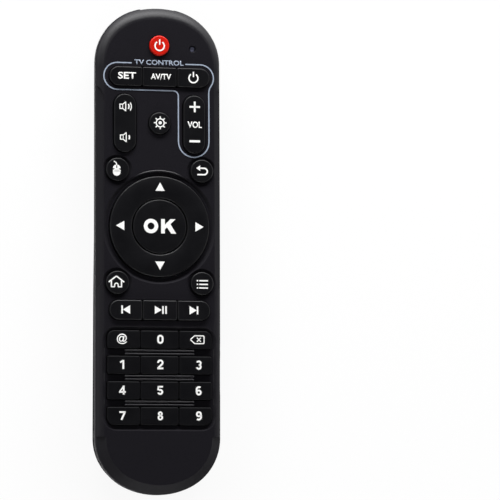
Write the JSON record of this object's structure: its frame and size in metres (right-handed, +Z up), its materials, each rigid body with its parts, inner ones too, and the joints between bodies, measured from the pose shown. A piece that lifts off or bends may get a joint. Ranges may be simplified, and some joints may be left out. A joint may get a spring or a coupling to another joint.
{
  "type": "remote control",
  "caption": "Hand-held infrared remote control with direction ring, rockers, number pad and hinged battery door.",
  "frame": {"origin": "middle of the underside's bounding box, on the table that the remote lies on", "axes": "+Z up through the keys, +Y towards the end that points at the television, +X to the right of the keys"},
  "size_m": [0.047, 0.1814, 0.0202],
  "materials": {
    "body_abs": "fine spark-eroded black ABS",
    "key_silicone": "matt black silicone rubber",
    "red_silicone": "satin red silicone rubber",
    "mat_silicone": "grey silicone sheet",
    "window_plastic": "dark infrared-clear acrylic",
    "lamp_epoxy": "clear bluish epoxy",
    "lens_plastic": "smoked clear plastic",
    "board_laminate": "paper-phenolic laminate with lacquer",
    "carbon_print": "printed carbon ink",
    "chip_epoxy": "moulded black epoxy",
    "ceramic": "dipped ceramic",
    "capacitor_sleeve": "printed film sleeve over an aluminium can",
    "cell_jacket": "plain printed film over a steel can",
    "spring_steel": "nickel-plated spring steel"
  },
  "bodies": {
    "case": {"battery_left": "cell_jacket", "battery_right": "cell_jacket", "bridge_contact": "spring_steel", "bridge_spring": "spring_steel", "capacitor": "capacitor_sleeve", "circuit_board": "board_laminate", "contact_pads": "carbon_print", "control_chip": "chip_epoxy", "front_cover": "body_abs", "indicator_lamp": "lamp_epoxy", "indicator_lens": "lens_plastic", "infrared_lamp": "lamp_epoxy", "infrared_window": "window_plastic", "keypad_mat": "mat_silicone", "negative_contact": "spring_steel", "negative_spring": "spring_steel", "positive_contact": "spring_steel", "rear_cover": "body_abs", "resistors": "chip_epoxy", "resonator": "ceramic", "transistor": "chip_epoxy"},
    "back_key": {"back_key": "key_silicone"},
    "home_key": {"home_key": "key_silicone"},
    "input_key": {"input_key": "key_silicone"},
    "key_0": {"key_0": "key_silicone"},
    "key_1": {"key_1": "key_silicone"},
    "key_2": {"key_2": "key_silicone"},
    "key_3": {"key_3": "key_silicone"},
    "key_4": {"key_4": "key_silicone"},
    "key_5": {"key_5": "key_silicone"},
    "key_6": {"key_6": "key_silicone"},
    "key_7": {"key_7": "key_silicone"},
    "key_8": {"key_8": "key_silicone"},
    "key_9": {"key_9": "key_silicone"},
    "key_at": {"key_at": "key_silicone"},
    "key_delete": {"key_delete": "key_silicone"},
    "menu_key": {"menu_key": "key_silicone"},
    "mouse_key": {"mouse_key": "key_silicone"},
    "next_key": {"next_key": "key_silicone"},
    "ok_key": {"ok_key": "key_silicone"},
    "play_pause_key": {"play_pause_key": "key_silicone"},
    "power_key": {"power_key": "red_silicone"},
    "previous_key": {"previous_key": "key_silicone"},
    "set_key": {"set_key": "key_silicone"},
    "settings_key": {"settings_key": "key_silicone"},
    "tv_power_key": {"tv_power_key": "key_silicone"},
    "sound_rocker": {"sound_rocker": "key_silicone"},
    "volume_rocker": {"volume_rocker": "key_silicone"},
    "ring_stems": {"ring_stems_up_down": "key_silicone"},
    "direction_ring": {"direction_ring": "key_silicone"},
    "door": {"battery_door": "body_abs"},
    "latch": {"door_latch": "body_abs"}
  },
  "joints": [
    {"name": "door_hinge", "type": "hinge", "parent": "case", "child": "door", "pos_m": [0, -0.07936, 0.00276], "axis": [-1, 0, 0], "range_deg": [0, 70]},
    {"name": "latch_flex", "type": "hinge", "parent": "door", "child": "latch", "pos_m": [0, -0.01384, 0.00212], "axis": [1, 0, 0], "range_deg": [0, 6], "stiffness_Nm_per_rad": 0.05},
    {"name": "ring_up_down", "type": "hinge", "parent": "case", "child": "ring_stems", "pos_m": [0, 0.00854, 0.01408], "axis": [1, 0, 0], "range_deg": [-2.5, 2.5], "stiffness_Nm_per_rad": 0.25},
    {"name": "ring_left_right", "type": "hinge", "parent": "ring_stems", "child": "direction_ring", "pos_m": [0, 0.00854, 0.01408], "axis": [0, 0.9994, -0.0349], "range_deg": [-2.5, 2.5], "stiffness_Nm_per_rad": 0.25},
    {"name": "sound_rock", "type": "hinge", "parent": "case", "child": "sound_rocker", "pos_m": [-0.0131, 0.04692, 0.01294], "axis": [1, 0, 0], "range_deg": [-4, 4], "stiffness_Nm_per_rad": 0.06},
    {"name": "volume_rock", "type": "hinge", "parent": "case", "child": "volume_rocker", "pos_m": [0.0131, 0.04692, 0.01294], "axis": [1, 0, 0], "range_deg": [-4, 4], "stiffness_Nm_per_rad": 0.06},
    {"name": "ok_press", "type": "slide", "parent": "case", "child": "ok_key", "axis": [0, -0.0349, -0.9994], "range_m": [0, 0.0007], "stiffness_N_per_m": 1200},
    {"name": "back_press", "type": "slide", "parent": "case", "child": "back_key", "axis": [0, -0.0349, -0.9994], "range_m": [0, 0.0007], "stiffness_N_per_m": 1200},
    {"name": "home_press", "type": "slide", "parent": "case", "child": "home_key", "axis": [0, -0.0349, -0.9994], "range_m": [0, 0.0007], "stiffness_N_per_m": 1200},
    {"name": "input_press", "type": "slide", "parent": "case", "child": "input_key", "axis": [0, -0.0349, -0.9994], "range_m": [0, 0.0007], "stiffness_N_per_m": 1200},
    {"name": "digit_0_press", "type": "slide", "parent": "case", "child": "key_0", "axis": [0, -0.0349, -0.9994], "range_m": [0, 0.0007], "stiffness_N_per_m": 1200},
    {"name": "digit_1_press", "type": "slide", "parent": "case", "child": "key_1", "axis": [0, -0.0349, -0.9994], "range_m": [0, 0.0007], "stiffness_N_per_m": 1200},
    {"name": "digit_2_press", "type": "slide", "parent": "case", "child": "key_2", "axis": [0, -0.0349, -0.9994], "range_m": [0, 0.0007], "stiffness_N_per_m": 1200},
    {"name": "digit_3_press", "type": "slide", "parent": "case", "child": "key_3", "axis": [0, -0.0349, -0.9994], "range_m": [0, 0.0007], "stiffness_N_per_m": 1200},
    {"name": "digit_4_press", "type": "slide", "parent": "case", "child": "key_4", "axis": [0, -0.0349, -0.9994], "range_m": [0, 0.0007], "stiffness_N_per_m": 1200},
    {"name": "digit_5_press", "type": "slide", "parent": "case", "child": "key_5", "axis": [0, -0.0349, -0.9994], "range_m": [0, 0.0007], "stiffness_N_per_m": 1200},
    {"name": "digit_6_press", "type": "slide", "parent": "case", "child": "key_6", "axis": [0, -0.0349, -0.9994], "range_m": [0, 0.0007], "stiffness_N_per_m": 1200},
    {"name": "digit_7_press", "type": "slide", "parent": "case", "child": "key_7", "axis": [0, -0.0349, -0.9994], "range_m": [0, 0.0007], "stiffness_N_per_m": 1200},
    {"name": "digit_8_press", "type": "slide", "parent": "case", "child": "key_8", "axis": [0, -0.0349, -0.9994], "range_m": [0, 0.0007], "stiffness_N_per_m": 1200},
    {"name": "digit_9_press", "type": "slide", "parent": "case", "child": "key_9", "axis": [0, -0.0349, -0.9994], "range_m": [0, 0.0007], "stiffness_N_per_m": 1200},
    {"name": "digit_at_press", "type": "slide", "parent": "case", "child": "key_at", "axis": [0, -0.0349, -0.9994], "range_m": [0, 0.0007], "stiffness_N_per_m": 1200},
    {"name": "digit_delete_press", "type": "slide", "parent": "case", "child": "key_delete", "axis": [0, -0.0349, -0.9994], "range_m": [0, 0.0007], "stiffness_N_per_m": 1200},
    {"name": "menu_press", "type": "slide", "parent": "case", "child": "menu_key", "axis": [0, -0.0349, -0.9994], "range_m": [0, 0.0007], "stiffness_N_per_m": 1200},
    {"name": "mouse_press", "type": "slide", "parent": "case", "child": "mouse_key", "axis": [0, -0.0349, -0.9994], "range_m": [0, 0.0007], "stiffness_N_per_m": 1200},
    {"name": "next_press", "type": "slide", "parent": "case", "child": "next_key", "axis": [0, -0.0349, -0.9994], "range_m": [0, 0.0007], "stiffness_N_per_m": 1200},
    {"name": "play_pause_press", "type": "slide", "parent": "case", "child": "play_pause_key", "axis": [0, -0.0349, -0.9994], "range_m": [0, 0.0007], "stiffness_N_per_m": 1200},
    {"name": "power_press", "type": "slide", "parent": "case", "child": "power_key", "axis": [0, -0.0349, -0.9994], "range_m": [0, 0.0007], "stiffness_N_per_m": 1200},
    {"name": "previous_press", "type": "slide", "parent": "case", "child": "previous_key", "axis": [0, -0.0349, -0.9994], "range_m": [0, 0.0007], "stiffness_N_per_m": 1200},
    {"name": "set_press", "type": "slide", "parent": "case", "child": "set_key", "axis": [0, -0.0349, -0.9994], "range_m": [0, 0.0007], "stiffness_N_per_m": 1200},
    {"name": "settings_press", "type": "slide", "parent": "case", "child": "settings_key", "axis": [0, -0.0349, -0.9994], "range_m": [0, 0.0007], "stiffness_N_per_m": 1200},
    {"name": "tv_power_press", "type": "slide", "parent": "case", "child": "tv_power_key", "axis": [0, -0.0349, -0.9994], "range_m": [0, 0.0007], "stiffness_N_per_m": 1200}
  ]
}
